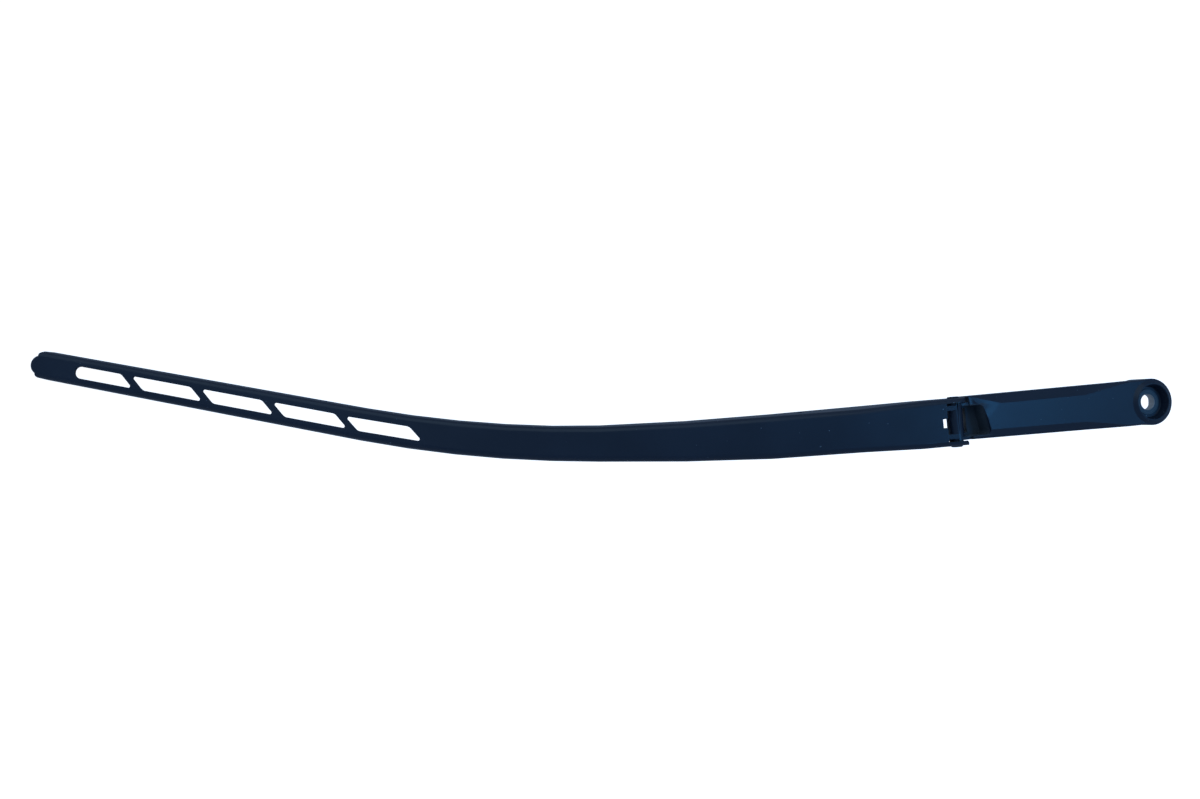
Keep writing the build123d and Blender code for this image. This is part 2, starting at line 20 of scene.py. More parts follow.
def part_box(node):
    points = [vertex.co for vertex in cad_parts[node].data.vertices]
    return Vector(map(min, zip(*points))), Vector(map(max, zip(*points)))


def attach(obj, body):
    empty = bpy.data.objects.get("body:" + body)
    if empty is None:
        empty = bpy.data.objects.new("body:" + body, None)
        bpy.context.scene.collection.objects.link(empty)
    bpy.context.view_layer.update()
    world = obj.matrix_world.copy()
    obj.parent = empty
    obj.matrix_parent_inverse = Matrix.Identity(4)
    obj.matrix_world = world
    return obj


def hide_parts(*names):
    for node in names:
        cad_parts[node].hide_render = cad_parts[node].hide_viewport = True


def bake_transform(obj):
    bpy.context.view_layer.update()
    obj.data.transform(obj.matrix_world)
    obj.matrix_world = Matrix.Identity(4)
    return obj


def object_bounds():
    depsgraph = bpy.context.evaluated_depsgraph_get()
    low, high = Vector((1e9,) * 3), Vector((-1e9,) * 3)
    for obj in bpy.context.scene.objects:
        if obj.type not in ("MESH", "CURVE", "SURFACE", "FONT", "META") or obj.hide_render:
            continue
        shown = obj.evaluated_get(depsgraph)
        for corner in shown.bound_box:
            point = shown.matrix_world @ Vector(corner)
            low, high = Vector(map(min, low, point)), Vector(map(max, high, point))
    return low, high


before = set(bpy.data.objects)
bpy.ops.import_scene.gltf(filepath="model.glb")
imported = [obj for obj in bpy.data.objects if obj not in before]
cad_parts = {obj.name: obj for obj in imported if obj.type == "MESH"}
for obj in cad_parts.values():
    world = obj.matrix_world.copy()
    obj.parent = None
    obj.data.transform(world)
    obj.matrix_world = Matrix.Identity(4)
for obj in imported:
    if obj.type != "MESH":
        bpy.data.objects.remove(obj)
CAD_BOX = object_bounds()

Colour = tuple[float, float, float]
Range = tuple[float, float]
Socket = bpy.types.NodeSocket

LOG = logging.getLogger("wiper_arm")
MM = 0.001
AXIS_Y = Vector((0.0, 1.0, 0.0))
WELD = 0.001 * MM
NEAR = 0.01 * MM

BLACK: Colour = (0.0, 0.0, 0.0)
WHITE: Colour = (1.0, 1.0, 1.0)
FULL: Range = (0.0, 1.0)
FALLING: Range = (1.0, 0.0)
NOISE_RANGE: Range = (0.3, 0.7)
PLAIN_GLOSS = 0.5
# Places of a mix node's sockets for colours, which share their names with other sockets.
MIX_COLOURS = (6, 7)
MIX_RESULT = 2


class Slot(Enum):
    """Material slots of the part's record."""

    HEAD_COAT = "head_coat"
    ARM_COAT = "arm_coat"
    PIN_COAT = "pin_coat"
    WIRE_STEEL = "wire_steel"


class Body(Enum):
    """Bodies that the pieces move with."""

    HEAD = "head"
    ARM = "arm"
    YOKE = "yoke"
    SPRING = "spring"


class Side(Enum):
    """Sides of the arm, by the sign of Y."""

    FAR = 1.0
    NEAR = -1.0


class Run(Enum):
    """Straight runs of wire beside an eye, by the side on which they touch it."""

    LEAVING = 1.0
    COMING = -1.0


# ----------------------------------------------------------------------------- finishes


class NodeBoard:
    """A material's node tree, with short calls for the nodes that the finishes share."""

    def __init__(self, name: str) -> None:
        """Start a material with one shader and the object's own coordinates.

        Args:
            name: The material's name.
        """
        self.material = bpy.data.materials.new(name)
        self.material.use_nodes = True
        self.tree = self.material.node_tree
        self.tree.nodes.clear()
        output = self.tree.nodes.new("ShaderNodeOutputMaterial")
        self.shader = self.tree.nodes.new("ShaderNodeBsdfPrincipled")
        self.link(self.shader.outputs["BSDF"], output.inputs["Surface"])
        self.place = self.tree.nodes.new("ShaderNodeTexCoord").outputs["Object"]

    def link(self, source: Socket, target: Socket) -> None:
        """Join an output to an input."""
        self.tree.links.new(source, target)

    def feed(self, source: Socket, socket: str) -> None:
        """Join an output to one of the shader's inputs by name."""
        self.link(source, self.shader.inputs[socket])

    def fix(self, **values: float) -> None:
        """Set inputs of the shader that are the same all over, with _ for a space in the name."""
        for socket, value in values.items():
            self.shader.inputs[socket.replace("_", " ")].default_value = value

    def paint(self, socket: str, colour: Colour) -> None:
        """Set a colour of the shader that is the same all over."""
        self.shader.inputs[socket].default_value = (*colour, 1.0)

    def noise(self, scale: float, detail: float, place: Socket | None = None) -> Socket:
        """Add a noise pattern.

        Args:
            scale: Blotches per metre.
            detail: Octaves of finer noise.
            place: Coordinates, or the object's own.

        Returns:
            The pattern's value, mostly inside NOISE_RANGE.
        """
        node = self.tree.nodes.new("ShaderNodeTexNoise")
        node.inputs["Scale"].default_value = scale
        node.inputs["Detail"].default_value = detail
        self.link(place or self.place, node.inputs["Vector"])
        return node.outputs["Fac"]

    def dots(self, scale: float) -> Socket:
        """Add scattered cells.

        Args:
            scale: Cells per metre.

        Returns:
            The distance to the nearest cell's middle.
        """
        node = self.tree.nodes.new("ShaderNodeTexVoronoi")
        node.inputs["Scale"].default_value = scale
        self.link(self.place, node.inputs["Vector"])
        return node.outputs["Distance"]

    def stretch(self, scale: Sequence[float]) -> Socket:
        """Scale the coordinates unevenly, which draws a pattern out along one direction.

        Args:
            scale: Factors along X, Y and Z.

        Returns:
            The scaled coordinates.
        """
        node = self.tree.nodes.new("ShaderNodeMapping")
        node.inputs["Scale"].default_value = scale
        self.link(self.place, node.inputs["Vector"])
        return node.outputs["Vector"]

    def spread(self, value: Socket, span: Range, results: Range = FULL) -> Socket:
        """Map a range of values smoothly onto another.

        Args:
            value: What is mapped.
            span: Input values at the two ends.
            results: Results at the two ends.

        Returns:
            The mapped value, held at both ends.
        """
        node = self.tree.nodes.new("ShaderNodeMapRange")
        node.interpolation_type = "SMOOTHSTEP"
        sockets = ("From Min", "From Max", "To Min", "To Max")
        for socket, number in zip(sockets, (*span, *results)):
            node.inputs[socket].default_value = number
        self.link(value, node.inputs["Value"])
        return node.outputs["Result"]

    def combine(self, operation: str, first: Socket, second: Socket) -> Socket:
        """Join two values by a product, a maximum or the like.

        Args:
            operation: The math node's name for it.
            first: One value.
            second: The other value.

        Returns:
            The joined value.
        """
        node = self.tree.nodes.new("ShaderNodeMath")
        node.operation = operation
        self.link(first, node.inputs[0])
        self.link(second, node.inputs[1])
        return node.outputs["Value"]

    def blend(self, share: Socket, first: Socket | Colour, second: Socket | Colour) -> Socket:
        """Mix two colours by a share.

        Args:
            share: 0 for the first colour, 1 for the second.
            first: Colour or output.
            second: Colour or output.

        Returns:
            The mixed colour.
        """
        node = self.tree.nodes.new("ShaderNodeMix")
        node.data_type = "RGBA"
        self.link(share, node.inputs["Factor"])
        for place, colour in zip(MIX_COLOURS, (first, second)):
            if isinstance(colour, tuple):
                node.inputs[place].default_value = (*colour, 1.0)
            else:
                self.link(colour, node.inputs[place])
        return node.outputs[MIX_RESULT]

    def bump(self, height: Socket, depth: float, under: Socket | None = None) -> Socket:
        """Turn a height into a bent normal.

        Args:
            height: Pattern of heights, from 0 to 1.
            depth: Height of the pattern in metres.
            under: Normal of a coarser bump below this one.

        Returns:
            The bent normal.
        """
        node = self.tree.nodes.new("ShaderNodeBump")
        node.inputs["Distance"].default_value = depth
        self.link(height, node.inputs["Height"])
        if under is not None:
            self.link(under, node.inputs["Normal"])
        return node.outputs["Normal"]

    def within(self, axis: str, span: Range, edge: float) -> Socket:
        """Mask a slab across one axis.

        Args:
            axis: X, Y or Z.
            span: Where the slab starts and ends.
            edge: Length over which the mask fades outside it.

        Returns:
            1 inside the slab, 0 outside.
        """
        low, high = span
        split = self.tree.nodes.new("ShaderNodeSeparateXYZ")
        self.link(self.place, split.inputs["Vector"])
        rise = self.spread(split.outputs[axis], (low - edge, low))
        fall = self.spread(split.outputs[axis], (high, high + edge), FALLING)
        return self.combine("MULTIPLY", rise, fall)

    def from_spindle(self) -> tuple[Socket, Socket]:
        """Measure a point from the spindle axis.

        Returns:
            The distance from the axis, and the height above the nut seat.
        """
        split = self.tree.nodes.new("ShaderNodeSeparateXYZ")
        flat = self.tree.nodes.new("ShaderNodeCombineXYZ")
        length = self.tree.nodes.new("ShaderNodeVectorMath")
        length.operation = "LENGTH"
        self.link(self.place, split.inputs["Vector"])
        self.link(split.outputs["X"], flat.inputs["X"])
        self.link(split.outputs["Y"], flat.inputs["Y"])
        self.link(flat.outputs["Vector"], length.inputs[0])
        return length.outputs["Value"], split.outputs["Z"]


@dataclass(frozen=True)
class SeatWear:
    """Bare metal that a spindle nut has left on its seat and in the bore."""

    seat_radius: float = 7.2 * MM
    bore_radius: float = 4.5 * MM
    edge: float = 0.25 * MM
    colour: Colour = (0.11, 0.125, 0.14)
    colour_dull: Colour = (0.045, 0.055, 0.065)
    bore_colour: Colour = (0.34, 0.37, 0.40)
    metal: float = 0.35
    roughness: Range = (0.34, 0.46)
    ring_scale: float = 2600.0
    ring_range: Range = (0.35, 0.65)

    def seat(self, board: NodeBoard) -> Socket:
        """Mask the seat's face.

        Args:
            board: The coat that is worn through.

        Returns:
            1 on bare metal, 0 on the coat.
        """
        radius, height = board.from_spindle()
        rim = (self.seat_radius - self.edge, self.seat_radius + self.edge)
        on_seat = board.spread(radius, rim, FALLING)
        above = board.spread(height, (-self.edge, -self.edge / 3))
        below = board.spread(height, (self.edge, 2 * self.edge), FALLING)
        return board.combine("MULTIPLY", board.combine("MULTIPLY", on_seat, above), below)

    def bore(self, board: NodeBoard) -> Socket:
        """Mask the bore's wall.

        Args:
            board: The coat that is worn through.

        Returns:
            1 on bare metal, 0 on the coat.
        """
        radius, _ = board.from_spindle()
        wall = (self.bore_radius + self.edge / 2, self.bore_radius + self.edge)
        return board.spread(radius, wall, FALLING)

    def rings(self, board: NodeBoard) -> Socket:
        """Add the fine rings that the turning nut has rubbed into the seat.

        Args:
            board: The coat that is worn through.

        Returns:
            The rings' value, mostly inside NOISE_RANGE.
        """
        radius, _ = board.from_spindle()
        node = board.tree.nodes.new("ShaderNodeTexNoise")
        node.noise_dimensions = "1D"
        node.inputs["Scale"].default_value = self.ring_scale
        board.link(radius, node.inputs["W"])
        return node.outputs["Fac"]


@dataclass(frozen=True)
class DullPocketWithPaintedLight:
    """Thin, dull coat in the pocket behind the hinge barrel, with painted light: a colour much
    lighter than the coat that evens out the pocket's shadow.
    """

    along: Range = (-118.4 * MM, -104.0 * MM)
    across: Range = (-8.6 * MM, 8.6 * MM)
    height: Range = (-12.0 * MM, 1.4 * MM)
    edge: float = 0.8 * MM
    # Painted light: much lighter than the coat, to even out the light and shadow in the pocket.
    colour: Colour = (0.072, 0.086, 0.104)
    roughness: float = 0.85
    gloss: float = 0.12

    def mask(self, board: NodeBoard) -> Socket:
        """Mask the pocket.

        Args:
            board: The coat that is dull and painted lighter there.

        Returns:
            1 in the pocket, 0 elsewhere.
        """
        in_length = board.within("X", self.along, self.edge)
        in_width = board.within("Y", self.across, self.edge)
        plan = board.combine("MULTIPLY", in_length, in_width)
        return board.combine("MULTIPLY", plan, board.within("Z", self.height, self.edge))


@dataclass(frozen=True)
class SatinCoat:
    """Satin coat, nearly black with a blue cast: fine peel, faint clouds and a little dust."""

    name: str
    colour: Colour = (0.0090, 0.0160, 0.0325)
    colour_cloud: Colour = (0.0106, 0.0190, 0.0380)
    roughness: Range = (0.31, 0.38)
    cloud_scale: float = 28.0
    cloud_detail: float = 4.0
    cloud_range: Range = (0.35, 0.68)
    peel_scale: float = 1700.0
    peel_detail: float = 1.0
    peel_depth: float = 0.006 * MM
    cast_scale: float = 320.0
    cast_detail: float = 3.0
    cast_depth: float = 0.0
    dust_scale: float = 260.0
    dust_radius: Range = (0.048, 0.08)
    dust_colour: Colour = (0.22, 0.28, 0.34)
    patch_scale: float = 47.6
    patch_detail: float = 1.0
    patch_range: Range = (0.52, 0.62)
    wear: SeatWear | None = None
    pocket: DullPocketWithPaintedLight | None = None

    def material(self) -> bpy.types.Material:
        """Build the coat.

        Returns:
            The finished material.
        """
        board = NodeBoard(self.name)
        clouds = board.noise(self.cloud_scale, self.cloud_detail)
        cloudy = board.spread(clouds, self.cloud_range)
        colour = board.blend(cloudy, self.colour, self.colour_cloud)
        dust = board.spread(board.dots(self.dust_scale), self.dust_radius, FALLING)
        patches = board.noise(self.patch_scale, self.patch_detail)
        specks = board.combine("MULTIPLY", dust, board.spread(patches, self.patch_range))
        colour = board.blend(specks, colour, self.dust_colour)
        rough = board.spread(clouds, NOISE_RANGE, self.roughness)
        normal = None
        if self.cast_depth:
            normal = board.bump(board.noise(self.cast_scale, self.cast_detail), self.cast_depth)
        peel = board.noise(self.peel_scale, self.peel_detail)
        normal = board.bump(peel, self.peel_depth, normal)
        if self.pocket:
            # Painted light in the pocket: its lighter colour evens out the shadow there. The low
            # roughness and gloss are the dull coat's own.
            dull_and_painted_light = self.pocket.mask(board)
            colour = board.blend(dull_and_painted_light, colour, self.pocket.colour)
            matt = board.spread(dull_and_painted_light, FULL, (0.0, self.pocket.roughness))
            rough = board.combine("MAXIMUM", rough, matt)
            gloss = board.spread(dull_and_painted_light, FULL, (PLAIN_GLOSS, self.pocket.gloss))
            board.feed(gloss, "Specular IOR Level")
        if self.wear:
            bore = self.wear.bore(board)
            bare = board.combine("MAXIMUM", self.wear.seat(board), bore)
            rings = self.wear.rings(board)
            bright = board.spread(rings, self.wear.ring_range)
            metal = board.blend(bright, self.wear.colour_dull, self.wear.colour)
            metal = board.blend(bore, metal, self.wear.bore_colour)
            colour = board.blend(bare, colour, metal)
            rubbed = board.spread(rings, NOISE_RANGE, self.wear.roughness)
            rough = board.blend(bare, rough, rubbed)
            board.feed(board.spread(bare, FULL, (0.0, self.wear.metal)), "Metallic")
        board.feed(colour, "Base Color")
        board.feed(rough, "Roughness")
        board.feed(normal, "Normal")
        return board.material


@dataclass(frozen=True)
class WorkedMetal:
    """Bare or treated metal: pins, wire and sintered bushes."""

    name: str
    colour: Colour
    colour_dark: Colour
    roughness: Range
    grain: tuple[float, float, float] = (1.0, 1.0, 1.0)
    grain_scale: float = 900.0
    grain_detail: float = 2.0
    grain_depth: float = 0.004 * MM
    stain_scale: float = 120.0
    stain_detail: float = 4.0
    stain_range: Range = (0.14, 0.36)

    def material(self) -> bpy.types.Material:
        """Build the metal.

        Returns:
            The finished material.
        """
        board = NodeBoard(self.name)
        stains = board.noise(self.stain_scale, self.stain_detail)
        grain = board.noise(self.grain_scale, self.grain_detail, board.stretch(self.grain))
        clean = board.spread(board.combine("MULTIPLY", stains, grain), self.stain_range)
        board.feed(board.blend(clean, self.colour_dark, self.colour), "Base Color")
        board.feed(board.spread(grain, NOISE_RANGE, self.roughness), "Roughness")
        board.feed(board.bump(grain, self.grain_depth), "Normal")
        board.fix(Metallic=1.0)
        return board.material


HEAD_FINISH = SatinCoat(
    "head_satin", cast_depth=0.02 * MM, wear=SeatWear(), pocket=DullPocketWithPaintedLight()
)
ARM_FINISH = SatinCoat("arm_satin")
RIVET_FINISH = SatinCoat("rivet_satin", roughness=(0.3, 0.42))
BUSH_FINISH = WorkedMetal(
    "sintered_bush",
    colour=(0.27, 0.20, 0.115),
    colour_dark=(0.12, 0.085, 0.045),
    roughness=(0.46, 0.64),
    grain_scale=2600.0,
)
WIRE_FINISH = WorkedMetal(
    "phosphated_wire",
    colour=(0.19, 0.195, 0.205),
    colour_dark=(0.075, 0.078, 0.085),
    roughness=(0.40, 0.58),
    grain_scale=1500.0,
)
PIN_FINISH = WorkedMetal(
    "drawn_pin",
    colour=(0.20, 0.205, 0.215),
    colour_dark=(0.08, 0.083, 0.09),
    roughness=(0.34, 0.48),
    grain=(1.0, 0.06, 1.0),
)


# ------------------------------------------------------------------------------- shaping


def place_piece(
    bm: bmesh.types.BMesh, name: str, finish: bpy.types.Material
) -> bpy.types.Object:
    """Turn a finished bmesh into an object at the origin.

    Args:
        bm: The shape, which is freed.
        name: The piece's name.
        finish: Its material.

    Returns:
        The new object.
    """
    mesh = bpy.data.meshes.new(name)
    for face in bm.faces:
        face.smooth = True
    bm.to_mesh(mesh)
    bm.free()
    mesh.materials.append(finish)
    piece = bpy.data.objects.new(name, mesh)
    bpy.context.scene.collection.objects.link(piece)
    return piece


def even_normals(piece: bpy.types.Object) -> None:
    """Keep flat faces flat beside their rounded edges."""
    modifier = piece.modifiers.new("even_normals", "WEIGHTED_NORMAL")
    modifier.keep_sharp = True


def round_edges(
    bm: bmesh.types.BMesh,
    edges: Sequence[bmesh.types.BMEdge],
    width: float,
    segments: int,
    clamp: bool,
) -> None:
    """Round some edges of a shape.

    Args:
        bm: The shape.
        edges: The edges to round.
        width: Width that the rounding takes from the faces.
        segments: Faces across the rounding.
        clamp: Whether the width gives way where the faces have too little room.
    """
    bmesh.ops.bevel(
        bm,
        geom=edges,
        offset=width,
        offset_type="OFFSET",
        affect="EDGES",
        segments=segments,
        profile=0.5,
        clamp_overlap=clamp,
        material=-1,
    )


@dataclass(frozen=True)
class SoftEdges:
    """Rounding that a coat leaves on the corners of a piece, wherever its faces have room.

    Where rounded corners make a face fold or cross another, those within reach of the spot stay
    sharp, the short ones first, and the rest is rounded again. Edges over the crease angle that
    aren't rounded stay crisp.
    """

    width: float
    segments: int = 4
    corner_angle: float = math.radians(50.0)
    crease_angle: float = math.radians(20.0)
    flat_angle: float = math.radians(0.6)
    fold_angle: float = math.radians(140.0)
    weld: float = 0.002 * MM
    reach: float = 0.7 * MM
    short: float = 1.0 * MM
    grid: float = 0.2 * MM
    rounds: int = 20

    def soften(
        self, node: bpy.types.Object, name: str, finish: bpy.types.Material
    ) -> bpy.types.Object:
        """Copy a solid's mesh with its corners rounded.

        Args:
            node: The solid's own object, which stays as it is.
            name: The new piece's name.
            finish: Its material.

        Returns:
            The new object.
        """
        bm = bmesh.new()
        bm.from_mesh(node.data)
        bmesh.ops.remove_doubles(bm, verts=bm.verts[:], dist=self.weld)
        bmesh.ops.dissolve_limit(
            bm, angle_limit=self.flat_angle, verts=bm.verts[:], edges=bm.edges[:]
        )
        bm.edges.index_update()
        bm.edges.ensure_lookup_table()
        for edge in bm.edges:
            edge.smooth = not self.is_over(edge, self.crease_angle)
        rounded = self.round_off(bm)
        bm.free()
        bmesh.ops.dissolve_degenerate(rounded, dist=self.weld, edges=rounded.edges[:])
        piece = place_piece(rounded, name, finish)
        even_normals(piece)
        return piece

    @staticmethod
    def is_over(edge: bmesh.types.BMEdge, angle: float) -> bool:
        """Whether two faces meet at an edge by more than an angle."""
        return edge.is_manifold and edge.calc_face_angle() > angle

    def round_off(self, bm: bmesh.types.BMesh) -> bmesh.types.BMesh:
        """Round the corners, leaving out those whose rounding would fold or cross a face.

        Args:
            bm: The sharp shape, which stays as it is.

        Returns:
            A new shape, or a plain copy if no choice of corners is free of faults.
        """
        chosen = [edge.index for edge in bm.edges if self.is_over(edge, self.corner_angle)]
        for _ in range(self.rounds):
            rounded = self.bevel(bm, chosen)
            faults = self.faults(rounded)
            if not faults:
                return rounded
            rounded.free()
            chosen = self.with_room(bm, chosen, faults)
        return bm.copy()

    def bevel(self, bm: bmesh.types.BMesh, chosen: Sequence[int]) -> bmesh.types.BMesh:
        """Round some edges of a copy of a shape.

        Args:
            bm: The sharp shape, which stays as it is.
            chosen: Indices of the edges to round.

        Returns:
            The rounded copy.
        """
        rounded = bm.copy()
        rounded.edges.ensure_lookup_table()
        corners = [rounded.edges[index] for index in chosen]
        for edge in corners:
            edge.smooth = True
        round_edges(rounded, corners, self.width, self.segments, clamp=False)
        return rounded

    def faults(self, rounded: bmesh.types.BMesh) -> list[Vector]:
        """Find where faces fold back on their neighbours or cross others.

        Args:
            rounded: The rounded shape, which stays as it is.

        Returns:
            One point for each faulty spot.
        """
        trial = rounded.copy()
        bmesh.ops.triangulate(trial, faces=trial.faces[:])
        trial.faces.ensure_lookup_table()
        folds = [edge for edge in trial.edges if self.is_over(edge, self.fold_angle)]
        places = [edge.verts[0].co.copy() for edge in folds]
        tree = BVHTree.FromBMesh(trial)
        for first, second in tree.overlap(tree):
            pair = (trial.faces[first], trial.faces[second])
            if first < second and not set(pair[0].verts) & set(pair[1].verts):
                places.append(min(pair, key=lambda face: face.calc_area()).calc_center_median())
        trial.free()
        spots = {tuple(round(value / self.grid) for value in place): place for place in places}
        return list(spots.values())

    def with_room(
        self, bm: bmesh.types.BMesh, chosen: Sequence[int], faults: Sequence[Vector]
    ) -> list[int]:
        """Leave out the edges beside faulty spots, the short ones first.

        Args:
            bm: The sharp shape.
            chosen: Indices of the edges that were rounded.
            faults: The faulty spots.

        Returns:
            Indices of the edges that are still rounded.
        """
        dropped: set[int] = set()
        for place in faults:
            gaps = {index: self.gap(place, bm.edges[index]) for index in chosen}
            reach = max(self.reach, min(gaps.values(), default=0.0))
            near = [index for index in chosen if gaps[index] <= reach]
            lengths = {index: bm.edges[index].calc_length() for index in near}
            limit = max(self.short, min(lengths.values(), default=0.0))
            dropped.update(index for index in near if lengths[index] <= limit)
        return [index for index in chosen if index not in dropped]

    @staticmethod
    def gap(place: Vector, edge: bmesh.types.BMEdge) -> float:
        """Measure how far a point is from an edge.

        Args:
            place: The point.
            edge: The edge.

        Returns:
            The shortest distance between them.
        """
        start, end = (vert.co for vert in edge.verts)
        _, share = intersect_point_line(place, start, end)
        return (place - start.lerp(end, min(1.0, max(0.0, share)))).length


class WirePen:
    """Draws round wire: a ring of edges that runs, bends and coils, and leaves its tube behind."""

    def __init__(self, start: Vector, heading: Vector, radius: float, sides: int) -> None:
        """Set the pen down.

        Args:
            start: Middle of the wire's first end.
            heading: Direction in which the wire sets off.
            radius: Radius of the wire.
            sides: Sides of its round section.
        """
        self.tip = start.copy()
        self.heading = heading.normalized()
        self.bm = bmesh.new()
        turned = self.heading.to_track_quat("Z", "Y").to_matrix().to_4x4()
        bmesh.ops.create_circle(
            self.bm, segments=sides, radius=radius, matrix=Matrix.Translation(start) @ turned
        )
        self.ring = list(self.bm.edges)

    def run_to(self, point: Vector) -> None:
        """Carry the wire straight on.

        Args:
            point: Where the run ends.
        """
        moved = bmesh.ops.extrude_edge_only(self.bm, edges=self.ring)["geom"]
        ends = [item for item in moved if isinstance(item, bmesh.types.BMVert)]
        bmesh.ops.translate(self.bm, verts=ends, vec=point - self.tip)
        self.ring = [item for item in moved if isinstance(item, bmesh.types.BMEdge)]
        self.tip = point.copy()

    def swing(
        self, centre: Vector, axis: Vector, angle: float, steps: int, rise: float = 0.0
    ) -> None:
        """Carry the wire round an axis, and along it for a coil.

        Args:
            centre: A point on the axis.
            axis: Direction of the axis.
            angle: Angle of the bend, right-handed.
            steps: Straight steps in it.
            rise: Travel along the axis.
        """
        verts = list({vert for edge in self.ring for vert in edge.verts})
        last = bmesh.ops.spin(
            self.bm,
            geom=[*verts, *self.ring],
            cent=centre,
            axis=axis,
            dvec=axis * (rise / steps),
            angle=angle,
            steps=steps,
        )["geom_last"]
        self.ring = [item for item in last if isinstance(item, bmesh.types.BMEdge)]
        turn = Matrix.Rotation(angle, 3, axis)
        self.tip = centre + turn @ (self.tip - centre) + axis * rise
        self.heading = turn @ self.heading

    def bend_at(self, corner: Vector, heading: Vector, reach: float, steps: int) -> None:
        """Run up to a corner and round it.

        Args:
            corner: Where the two straight runs would meet.
            heading: Direction after the corner.
            reach: Length that the bend takes from each run.
            steps: Straight steps in the bend.
        """
        heading = heading.normalized()
        self.run_to(corner - self.heading * reach)
        angle = self.heading.angle(heading)
        axis = self.heading.cross(heading).normalized()
        radius = reach / math.tan(angle / 2)
        self.swing(self.tip + axis.cross(self.heading) * radius, axis, angle, steps)

    def piece(self, name: str, finish: bpy.types.Material) -> bpy.types.Object:
        """Close both ends of the wire.

        Args:
            name: The piece's name.
            finish: Its material.

        Returns:
            The new object.
        """
        bmesh.ops.remove_doubles(self.bm, verts=self.bm.verts[:], dist=WELD)
        ends = [edge for edge in self.bm.edges if edge.is_boundary]
        caps = bmesh.ops.holes_fill(self.bm, edges=ends)["faces"]
        bmesh.ops.recalc_face_normals(self.bm, faces=self.bm.faces[:])
        for cap in caps:
            for edge in cap.edges:
                edge.smooth = False
        return place_piece(self.bm, name, finish)


@dataclass(frozen=True)
class Station:
    """A corner of a turned profile, with the rounding of its rim."""

    along: float
    radius: float
    rounding: float = 0.0

    def holds(self, offset: Vector) -> bool:
        """Whether a point, given from the middle of the piece, is on this rim."""
        radius = math.hypot(offset.x, offset.z)
        return abs(offset.y - self.along) < NEAR and abs(radius - self.radius) < NEAR


@dataclass(frozen=True)
class TurnedPiece:
    """A pin turned about an axis along Y."""

    stations: tuple[Station, ...]
    sides: int = 48
    segments: int = 5

    def turn(self, middle: Vector, name: str, finish: bpy.types.Material) -> bpy.types.Object:
        """Spin the profile and round its rims.

        Args:
            middle: The point of the axis that the stations are measured from.
            name: The piece's name.
            finish: Its material.

        Returns:
            The new object.
        """
        bm = bmesh.new()
        corners = [bm.verts.new(middle + Vector((s.radius, s.along, 0.0))) for s in self.stations]
        runs = [bm.edges.new(pair) for pair in zip(corners, corners[1:])]
        bmesh.ops.spin(
            bm,
            geom=[*corners, *runs],
            cent=middle,
            axis=AXIS_Y,
            angle=math.tau,
            steps=self.sides,
            use_merge=True,
        )
        bmesh.ops.remove_doubles(bm, verts=bm.verts[:], dist=WELD)
        bmesh.ops.recalc_face_normals(bm, faces=bm.faces[:])
        for station in self.stations:
            if station.rounding:
                self.round_rim(bm, middle, station)
        piece = place_piece(bm, name, finish)
        even_normals(piece)
        return piece

    def round_rim(self, bm: bmesh.types.BMesh, middle: Vector, station: Station) -> None:
        """Round the rim that one station has left.

        Args:
            bm: The turned shape.
            middle: The point of the axis that the stations are measured from.
            station: The rim's place and rounding.
        """
        rim = [
            edge
            for edge in bm.edges
            if all(station.holds(vert.co - middle) for vert in edge.verts)
        ]
        round_edges(bm, rim, station.rounding, self.segments, clamp=True)


def middle_of(node: str) -> Vector:
    """Middle of a node's box at rest."""
    low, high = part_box(node)
    return (Vector(low) + Vector(high)) / 2


def report(piece: bpy.types.Object, body: str) -> None:
    """Log one finished piece and the body it moves with."""
    LOG.info("%s on %s, %d faces", piece.name, body, len(piece.data.polygons))


# ---------------------------------------------------------------------------- assemblies


@dataclass
class CastHead:
    """Cast head with its nut recess, hinge barrel, bushes and yoke pin."""

    edges: SoftEdges = field(default_factory=lambda: SoftEdges(width=0.32 * MM))

    def build(self) -> None:
        """Round the casting's corners and dress it and what is pressed into it."""
        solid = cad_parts["arm_head"]
        casting = self.edges.soften(solid, "cast_head", HEAD_FINISH.material())
        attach(casting, Body.HEAD.value)
        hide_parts("arm_head")
        report(casting, Body.HEAD.value)
        self.dress("hinge_bush_left", BUSH_FINISH)
        self.dress("hinge_bush_right", BUSH_FINISH)
        self.dress("spring_pin", PIN_FINISH)

    def dress(self, node: str, finish: WorkedMetal) -> None:
        """Give a solid its finish.

        Args:
            node: The solid's name.
            finish: The metal it is made of.
        """
        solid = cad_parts[node]
        solid.data.materials.clear()
        solid.data.materials.append(finish.material())
        report(solid, Body.HEAD.value)


